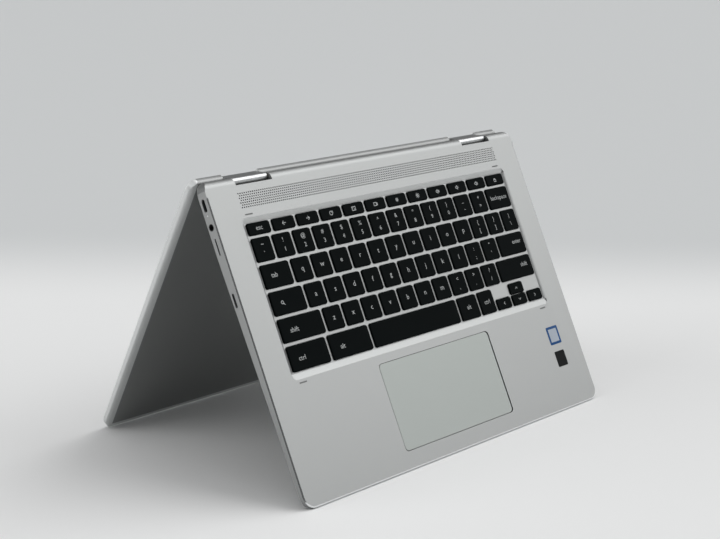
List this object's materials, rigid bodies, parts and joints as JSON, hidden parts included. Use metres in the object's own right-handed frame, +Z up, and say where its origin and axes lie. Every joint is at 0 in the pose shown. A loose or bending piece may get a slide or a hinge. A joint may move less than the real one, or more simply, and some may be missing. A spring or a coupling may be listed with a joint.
{
  "type": "convertible laptop computer",
  "caption": "Silver convertible laptop computer standing as a tent on a geared two-axis hinge, with island keyboard, speaker grille, touchpad and side ports.",
  "frame": {"origin": "middle of the box that the tent fills, on the surface that it stands on", "axes": "+X along the hinge to the laptop's right, +Y from the base's foot to the lid's foot, +Z up"},
  "size_m": [0.3256, 0.2191, 0.203],
  "materials": {
    "silver_cover": "satin bead-blasted silver",
    "silver_bright": "polished",
    "key_plastic": "matte",
    "black_plastic": "matte",
    "clear_rubber": "matte",
    "dome_rubber": "matte",
    "steel_parts": "brushed",
    "brass_parts": "machined",
    "copper_pipe": "satin copper",
    "circuit_board": "solder mask",
    "chip_plastic": "moulded",
    "cell_foil": "wrapped foil pouch",
    "pad_surface": "satin silver coated glass",
    "screen_glass": "gloss black-backed glass",
    "light_lens": "frosted"
  },
  "bodies": {
    "base": {"top_cover": "silver_cover", "bottom_cover": "silver_cover", "keyboard_plate": "steel_parts", "key_domes": "dome_rubber", "deck_bumpers": "clear_rubber", "rubber_feet": "clear_rubber", "bottom_screws": "steel_parts", "mainboard": "circuit_board", "board_chips": "chip_plastic", "side_board": "circuit_board", "heat_pipe": "copper_pipe", "fan_housing": "black_plastic", "battery_cells": "cell_foil", "battery_frame": "black_plastic", "left_speaker": "black_plastic", "right_speaker": "black_plastic", "wireless_card": "circuit_board", "usb_c_ports": "steel_parts", "usb_a_port": "steel_parts", "audio_jack": "black_plastic", "card_reader": "steel_parts", "charge_light": "light_lens", "button_switches": "black_plastic", "touchpad_frame": "steel_parts", "base_hinge_brackets": "steel_parts", "base_hinge_shafts": "steel_parts", "hinge_screws": "steel_parts"},
    "hinge_barrels": {"hinge_barrels": "silver_bright", "hinge_end_caps": "silver_bright", "friction_bushes": "brass_parts"},
    "first_idlers": {"first_idler_gears": "brass_parts"},
    "second_idlers": {"second_idler_gears": "brass_parts"},
    "lid": {"lid_hinge_shafts": "steel_parts", "lid_hinge_brackets": "steel_parts", "lid_cover": "silver_cover", "screen_glass": "screen_glass", "glass_seal": "black_plastic", "screen_panel": "steel_parts", "webcam_board": "circuit_board", "lid_antennas": "copper_pipe"},
    "touchpad": {"touchpad_glass": "pad_surface", "touchpad_board": "circuit_board"},
    "fan": {"fan_rotor": "black_plastic"},
    "power_button": {"power_button": "silver_cover"},
    "volume_rocker": {"volume_rocker": "silver_cover"},
    "function_keys": {"function_keys": "key_plastic"},
    "number_keys": {"number_keys": "key_plastic"},
    "upper_letter_keys": {"upper_letter_keys": "key_plastic"},
    "home_letter_keys": {"home_letter_keys": "key_plastic"},
    "lower_letter_keys": {"lower_letter_keys": "key_plastic"},
    "backspace_key": {"backspace_key": "key_plastic"},
    "tab_and_search_keys": {"tab_and_search_keys": "key_plastic"},
    "enter_key": {"enter_key": "key_plastic"},
    "shift_keys": {"shift_keys": "key_plastic"},
    "left_control_key": {"left_control_key": "key_plastic"},
    "left_alt_key": {"left_alt_key": "key_plastic"},
    "space_bar": {"space_bar": "key_plastic"},
    "right_alt_key": {"right_alt_key": "key_plastic"},
    "right_control_key": {"right_control_key": "key_plastic"},
    "arrow_keys": {"arrow_keys": "key_plastic"}
  },
  "joints": [
    {"name": "barrel_turn", "type": "hinge", "parent": "base", "child": "hinge_barrels", "pos_m": [0, -0.00516, 0.19923], "axis": [-1, 0, 0], "range_deg": [-153, 27]},
    {"name": "lid_turn", "type": "hinge", "parent": "hinge_barrels", "child": "lid", "pos_m": [0, 0.00354, 0.19932], "axis": [-1, 0, 0], "range_deg": [-153, 27]},
    {"name": "first_idler_turn", "type": "hinge", "parent": "hinge_barrels", "child": "first_idlers", "pos_m": [0, -0.00226, 0.19926], "axis": [-1, 0, 0], "range_deg": [-153, 27]},
    {"name": "second_idler_turn", "type": "hinge", "parent": "hinge_barrels", "child": "second_idlers", "pos_m": [0, 0.00064, 0.19929], "axis": [-1, 0, 0], "range_deg": [-27, 153]},
    {"name": "touchpad_click", "type": "hinge", "parent": "base", "child": "touchpad", "pos_m": [0, -0.07463, 0.06782], "axis": [1, 0, 0], "range_deg": [0, 0.5], "stiffness_Nm_per_rad": 8, "springref_deg": -1.15},
    {"name": "fan_spin", "type": "hinge", "parent": "base", "child": "fan", "pos_m": [-0.084, -0.03329, 0.14264], "axis": [0, -0.8954, 0.4452], "continuous": true},
    {"name": "power_press", "type": "slide", "parent": "base", "child": "power_button", "axis": [1, 0, 0], "range_m": [0, 0.0004], "stiffness_N_per_m": 1500, "springref_m": -0.0004},
    {"name": "volume_tilt", "type": "hinge", "parent": "base", "child": "volume_rocker", "pos_m": [0.1599, -0.03828, 0.13395], "axis": [0, -0.8954, 0.4452], "range_deg": [-1.2, 1.2], "stiffness_Nm_per_rad": 0.8},
    {"name": "function_keys_press", "type": "slide", "parent": "base", "child": "function_keys", "axis": [0, 0.8954, -0.4452], "range_m": [0, 0.0012], "stiffness_N_per_m": 400, "springref_m": -0.0004},
    {"name": "number_keys_press", "type": "slide", "parent": "base", "child": "number_keys", "axis": [0, 0.8954, -0.4452], "range_m": [0, 0.0012], "stiffness_N_per_m": 400, "springref_m": -0.0004},
    {"name": "upper_letter_keys_press", "type": "slide", "parent": "base", "child": "upper_letter_keys", "axis": [0, 0.8954, -0.4452], "range_m": [0, 0.0012], "stiffness_N_per_m": 400, "springref_m": -0.0004},
    {"name": "home_letter_keys_press", "type": "slide", "parent": "base", "child": "home_letter_keys", "axis": [0, 0.8954, -0.4452], "range_m": [0, 0.0012], "stiffness_N_per_m": 400, "springref_m": -0.0004},
    {"name": "lower_letter_keys_press", "type": "slide", "parent": "base", "child": "lower_letter_keys", "axis": [0, 0.8954, -0.4452], "range_m": [0, 0.0012], "stiffness_N_per_m": 400, "springref_m": -0.0004},
    {"name": "backspace_key_press", "type": "slide", "parent": "base", "child": "backspace_key", "axis": [0, 0.8954, -0.4452], "range_m": [0, 0.0012], "stiffness_N_per_m": 400, "springref_m": -0.0004},
    {"name": "tab_and_search_keys_press", "type": "slide", "parent": "base", "child": "tab_and_search_keys", "axis": [0, 0.8954, -0.4452], "range_m": [0, 0.0012], "stiffness_N_per_m": 400, "springref_m": -0.0004},
    {"name": "enter_key_press", "type": "slide", "parent": "base", "child": "enter_key", "axis": [0, 0.8954, -0.4452], "range_m": [0, 0.0012], "stiffness_N_per_m": 400, "springref_m": -0.0004},
    {"name": "shift_keys_press", "type": "slide", "parent": "base", "child": "shift_keys", "axis": [0, 0.8954, -0.4452], "range_m": [0, 0.0012], "stiffness_N_per_m": 400, "springref_m": -0.0004},
    {"name": "left_control_key_press", "type": "slide", "parent": "base", "child": "left_control_key", "axis": [0, 0.8954, -0.4452], "range_m": [0, 0.0012], "stiffness_N_per_m": 400, "springref_m": -0.0004},
    {"name": "left_alt_key_press", "type": "slide", "parent": "base", "child": "left_alt_key", "axis": [0, 0.8954, -0.4452], "range_m": [0, 0.0012], "stiffness_N_per_m": 400, "springref_m": -0.0004},
    {"name": "space_bar_press", "type": "slide", "parent": "base", "child": "space_bar", "axis": [0, 0.8954, -0.4452], "range_m": [0, 0.0012], "stiffness_N_per_m": 400, "springref_m": -0.0004, "deforming": ["key_domes"]},
    {"name": "right_alt_key_press", "type": "slide", "parent": "base", "child": "right_alt_key", "axis": [0, 0.8954, -0.4452], "range_m": [0, 0.0012], "stiffness_N_per_m": 400, "springref_m": -0.0004},
    {"name": "right_control_key_press", "type": "slide", "parent": "base", "child": "right_control_key", "axis": [0, 0.8954, -0.4452], "range_m": [0, 0.0012], "stiffness_N_per_m": 400, "springref_m": -0.0004},
    {"name": "arrow_keys_press", "type": "slide", "parent": "base", "child": "arrow_keys", "axis": [0, 0.8954, -0.4452], "range_m": [0, 0.0012], "stiffness_N_per_m": 400, "springref_m": -0.0004}
  ],
  "couplings": [
    {"joint": "lid_turn", "follows": "barrel_turn", "ratio": 1},
    {"joint": "first_idler_turn", "follows": "barrel_turn", "ratio": 1},
    {"joint": "second_idler_turn", "follows": "barrel_turn", "ratio": -1}
  ]
}
